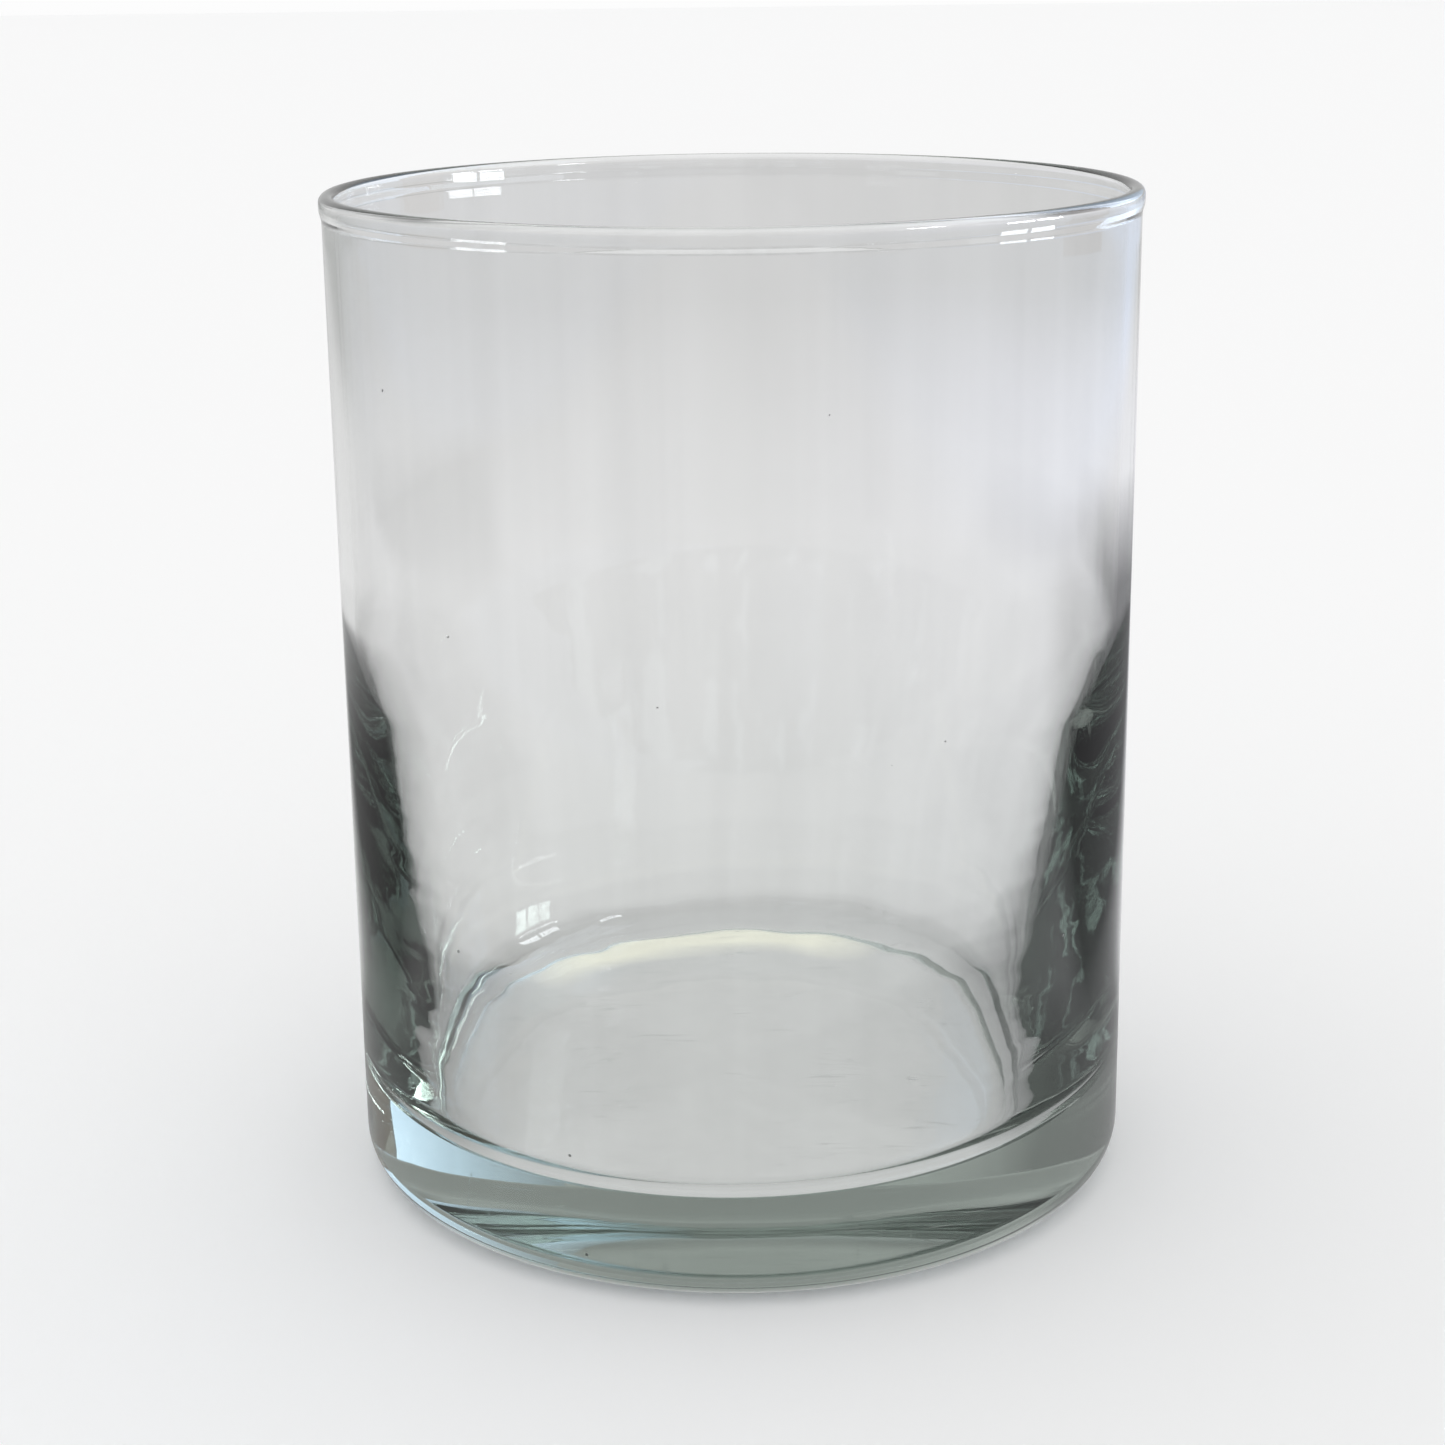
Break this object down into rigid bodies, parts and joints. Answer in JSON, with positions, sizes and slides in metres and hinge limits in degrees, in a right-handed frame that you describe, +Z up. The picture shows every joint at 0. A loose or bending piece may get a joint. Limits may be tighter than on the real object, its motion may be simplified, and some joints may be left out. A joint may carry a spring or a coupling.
{
  "type": "glass cylinder vase",
  "caption": "Straight clear glass cylinder vase with a fire-polished lip, a wall that thickens downwards and a thick solid base, for cut flowers.",
  "frame": {"origin": "centre of the standing ring, on the plane that the vase stands on", "axes": "+Z up along the vase's axis, out of the mouth; the vase is round, so +X and +Y are free"},
  "size_m": [0.1, 0.1, 0.125],
  "materials": {
    "clear_glass": "fire-polished clear soda-lime glass with a faint grey-green tint"
  },
  "bodies": {
    "root": {"vase": "clear_glass"}
  },
  "joints": []
}
